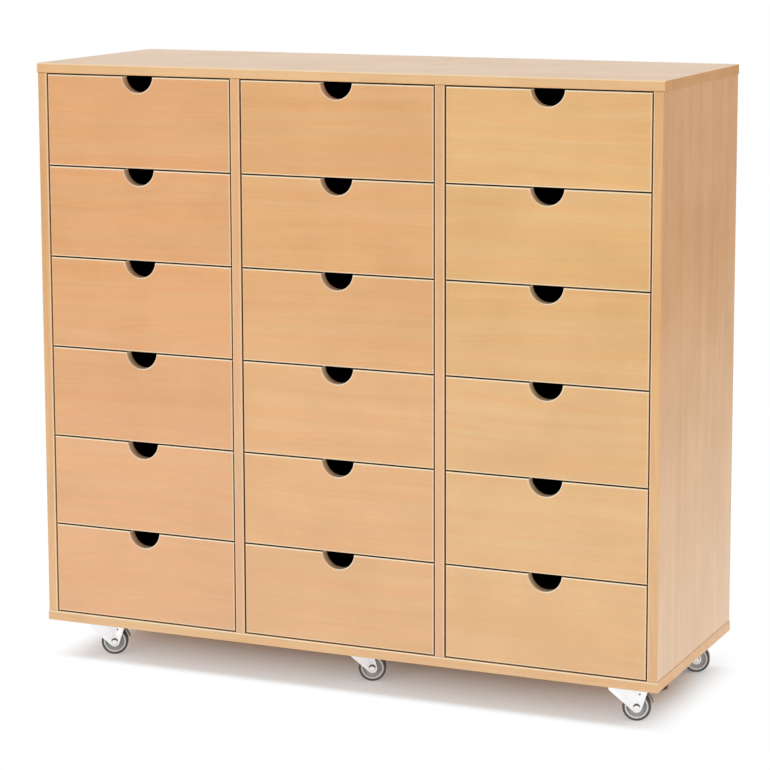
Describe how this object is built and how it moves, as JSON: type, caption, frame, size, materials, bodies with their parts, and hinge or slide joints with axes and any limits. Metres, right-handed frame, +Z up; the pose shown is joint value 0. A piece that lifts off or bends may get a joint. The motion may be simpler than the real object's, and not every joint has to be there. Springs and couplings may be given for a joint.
{
  "type": "drawer unit",
  "caption": "Wide mobile drawer unit in beech-faced board, with columns of inset drawers pulled by half-round finger notches, standing on swivel casters.",
  "frame": {"origin": "on the floor below the middle of the cabinet's footprint", "axes": "+Z up, +X to the right seen from the front, -Y to the front where the drawers open"},
  "size_m": [1.2, 0.43, 1.1185],
  "materials": {
    "beech_panel": "beech-grain laminate, satin",
    "beech_front": "beech-grain laminate, satin",
    "charcoal_board": "dark laminated board, matt",
    "runner_hardwood": "planed hardwood",
    "zinc_steel": "bright zinc plated",
    "caster_rubber": "dark tyre on a grey plastic wheel",
    "dark_pedal": "dark satin"
  },
  "bodies": {
    "cabinet": {"top_panel": "beech_panel", "bottom_panel": "beech_panel", "left_side_panel": "beech_panel", "left_divider": "beech_panel", "right_divider": "beech_panel", "right_side_panel": "beech_panel", "back_panel": "beech_panel", "runner_strips": "runner_hardwood", "carcase_fasteners": "zinc_steel", "caster_plates": "zinc_steel"},
    "left_drawer_1": {"left_drawer_1_front": "beech_front", "left_drawer_1_box": "charcoal_board"},
    "left_drawer_2": {"left_drawer_2_front": "beech_front", "left_drawer_2_box": "charcoal_board"},
    "left_drawer_3": {"left_drawer_3_front": "beech_front", "left_drawer_3_box": "charcoal_board"},
    "left_drawer_4": {"left_drawer_4_front": "beech_front", "left_drawer_4_box": "charcoal_board"},
    "left_drawer_5": {"left_drawer_5_front": "beech_front", "left_drawer_5_box": "charcoal_board"},
    "left_drawer_6": {"left_drawer_6_front": "beech_front", "left_drawer_6_box": "charcoal_board"},
    "middle_drawer_1": {"middle_drawer_1_front": "beech_front", "middle_drawer_1_box": "charcoal_board"},
    "middle_drawer_2": {"middle_drawer_2_front": "beech_front", "middle_drawer_2_box": "charcoal_board"},
    "middle_drawer_3": {"middle_drawer_3_front": "beech_front", "middle_drawer_3_box": "charcoal_board"},
    "middle_drawer_4": {"middle_drawer_4_front": "beech_front", "middle_drawer_4_box": "charcoal_board"},
    "middle_drawer_5": {"middle_drawer_5_front": "beech_front", "middle_drawer_5_box": "charcoal_board"},
    "middle_drawer_6": {"middle_drawer_6_front": "beech_front", "middle_drawer_6_box": "charcoal_board"},
    "right_drawer_1": {"right_drawer_1_front": "beech_front", "right_drawer_1_box": "charcoal_board"},
    "right_drawer_2": {"right_drawer_2_front": "beech_front", "right_drawer_2_box": "charcoal_board"},
    "right_drawer_3": {"right_drawer_3_front": "beech_front", "right_drawer_3_box": "charcoal_board"},
    "right_drawer_4": {"right_drawer_4_front": "beech_front", "right_drawer_4_box": "charcoal_board"},
    "right_drawer_5": {"right_drawer_5_front": "beech_front", "right_drawer_5_box": "charcoal_board"},
    "right_drawer_6": {"right_drawer_6_front": "beech_front", "right_drawer_6_box": "charcoal_board"},
    "front_left_fork": {"front_left_caster_fork": "zinc_steel"},
    "front_left_wheel": {"front_left_caster_wheel": "caster_rubber"},
    "front_left_pedal": {"front_left_brake_pedal": "dark_pedal"},
    "front_middle_fork": {"front_middle_caster_fork": "zinc_steel"},
    "front_middle_wheel": {"front_middle_caster_wheel": "caster_rubber"},
    "front_right_fork": {"front_right_caster_fork": "zinc_steel"},
    "front_right_wheel": {"front_right_caster_wheel": "caster_rubber"},
    "front_right_pedal": {"front_right_brake_pedal": "dark_pedal"},
    "rear_left_fork": {"rear_left_caster_fork": "zinc_steel"},
    "rear_left_wheel": {"rear_left_caster_wheel": "caster_rubber"},
    "rear_middle_fork": {"rear_middle_caster_fork": "zinc_steel"},
    "rear_middle_wheel": {"rear_middle_caster_wheel": "caster_rubber"},
    "rear_right_fork": {"rear_right_caster_fork": "zinc_steel"},
    "rear_right_wheel": {"rear_right_caster_wheel": "caster_rubber"}
  },
  "joints": [
    {"name": "front_left_brake", "type": "hinge", "parent": "front_left_fork", "child": "front_left_pedal", "pos_m": [-0.48744, -0.14209, 0.058], "axis": [-0.4384, 0.8988, 0], "range_deg": [0, 5.3]},
    {"name": "front_right_brake", "type": "hinge", "parent": "front_right_fork", "child": "front_right_pedal", "pos_m": [0.55034, -0.14649, 0.058], "axis": [-0.309, 0.9511, 0], "range_deg": [0, 5.3]},
    {"name": "left_drawer_1_slide", "type": "slide", "parent": "cabinet", "child": "left_drawer_1", "axis": [0, -1, 0], "range_m": [0, 0.285]},
    {"name": "left_drawer_2_slide", "type": "slide", "parent": "cabinet", "child": "left_drawer_2", "axis": [0, -1, 0], "range_m": [0, 0.285]},
    {"name": "left_drawer_3_slide", "type": "slide", "parent": "cabinet", "child": "left_drawer_3", "axis": [0, -1, 0], "range_m": [0, 0.285]},
    {"name": "left_drawer_4_slide", "type": "slide", "parent": "cabinet", "child": "left_drawer_4", "axis": [0, -1, 0], "range_m": [0, 0.285]},
    {"name": "left_drawer_5_slide", "type": "slide", "parent": "cabinet", "child": "left_drawer_5", "axis": [0, -1, 0], "range_m": [0, 0.285]},
    {"name": "left_drawer_6_slide", "type": "slide", "parent": "cabinet", "child": "left_drawer_6", "axis": [0, -1, 0], "range_m": [0, 0.285]},
    {"name": "middle_drawer_1_slide", "type": "slide", "parent": "cabinet", "child": "middle_drawer_1", "axis": [0, -1, 0], "range_m": [0, 0.285]},
    {"name": "middle_drawer_2_slide", "type": "slide", "parent": "cabinet", "child": "middle_drawer_2", "axis": [0, -1, 0], "range_m": [0, 0.285]},
    {"name": "middle_drawer_3_slide", "type": "slide", "parent": "cabinet", "child": "middle_drawer_3", "axis": [0, -1, 0], "range_m": [0, 0.285]},
    {"name": "middle_drawer_4_slide", "type": "slide", "parent": "cabinet", "child": "middle_drawer_4", "axis": [0, -1, 0], "range_m": [0, 0.285]},
    {"name": "middle_drawer_5_slide", "type": "slide", "parent": "cabinet", "child": "middle_drawer_5", "axis": [0, -1, 0], "range_m": [0, 0.285]},
    {"name": "middle_drawer_6_slide", "type": "slide", "parent": "cabinet", "child": "middle_drawer_6", "axis": [0, -1, 0], "range_m": [0, 0.285]},
    {"name": "right_drawer_1_slide", "type": "slide", "parent": "cabinet", "child": "right_drawer_1", "axis": [0, -1, 0], "range_m": [0, 0.285]},
    {"name": "right_drawer_2_slide", "type": "slide", "parent": "cabinet", "child": "right_drawer_2", "axis": [0, -1, 0], "range_m": [0, 0.285]},
    {"name": "right_drawer_3_slide", "type": "slide", "parent": "cabinet", "child": "right_drawer_3", "axis": [0, -1, 0], "range_m": [0, 0.285]},
    {"name": "right_drawer_4_slide", "type": "slide", "parent": "cabinet", "child": "right_drawer_4", "axis": [0, -1, 0], "range_m": [0, 0.285]},
    {"name": "right_drawer_5_slide", "type": "slide", "parent": "cabinet", "child": "right_drawer_5", "axis": [0, -1, 0], "range_m": [0, 0.285]},
    {"name": "right_drawer_6_slide", "type": "slide", "parent": "cabinet", "child": "right_drawer_6", "axis": [0, -1, 0], "range_m": [0, 0.285]},
    {"name": "front_left_swivel", "type": "hinge", "parent": "cabinet", "child": "front_left_fork", "pos_m": [-0.518, -0.157, 0.066], "axis": [0, 0, 1], "continuous": true},
    {"name": "front_middle_swivel", "type": "hinge", "parent": "cabinet", "child": "front_middle_fork", "pos_m": [0, -0.123, 0.066], "axis": [0, 0, 1], "continuous": true},
    {"name": "front_right_swivel", "type": "hinge", "parent": "cabinet", "child": "front_right_fork", "pos_m": [0.518, -0.157, 0.066], "axis": [0, 0, 1], "continuous": true},
    {"name": "rear_left_swivel", "type": "hinge", "parent": "cabinet", "child": "rear_left_fork", "pos_m": [-0.526, 0.165, 0.066], "axis": [0, 0, 1], "continuous": true},
    {"name": "rear_middle_swivel", "type": "hinge", "parent": "cabinet", "child": "rear_middle_fork", "pos_m": [0, 0.123, 0.066], "axis": [0, 0, 1], "continuous": true},
    {"name": "rear_right_swivel", "type": "hinge", "parent": "cabinet", "child": "rear_right_fork", "pos_m": [0.526, 0.165, 0.066], "axis": [0, 0, 1], "continuous": true},
    {"name": "front_left_roll", "type": "hinge", "parent": "front_left_fork", "child": "front_left_wheel", "pos_m": [-0.49643, -0.14648, 0.025], "axis": [-0.4384, 0.8988, 0], "continuous": true},
    {"name": "front_middle_roll", "type": "hinge", "parent": "front_middle_fork", "child": "front_middle_wheel", "pos_m": [0.02225, -0.11401, 0.025], "axis": [-0.3746, 0.9272, 0], "continuous": true},
    {"name": "front_right_roll", "type": "hinge", "parent": "front_right_fork", "child": "front_right_wheel", "pos_m": [0.54083, -0.14958, 0.025], "axis": [-0.309, 0.9511, 0], "continuous": true},
    {"name": "rear_left_roll", "type": "hinge", "parent": "rear_left_fork", "child": "rear_left_wheel", "pos_m": [-0.50345, 0.17321, 0.025], "axis": [-0.342, 0.9397, 0], "continuous": true},
    {"name": "rear_middle_roll", "type": "hinge", "parent": "rear_middle_fork", "child": "rear_middle_wheel", "pos_m": [0.02193, 0.13276, 0.025], "axis": [-0.4067, 0.9135, 0], "continuous": true},
    {"name": "rear_right_roll", "type": "hinge", "parent": "rear_right_fork", "child": "rear_right_wheel", "pos_m": [0.54895, 0.17202, 0.025], "axis": [-0.2924, 0.9563, 0], "continuous": true}
  ]
}
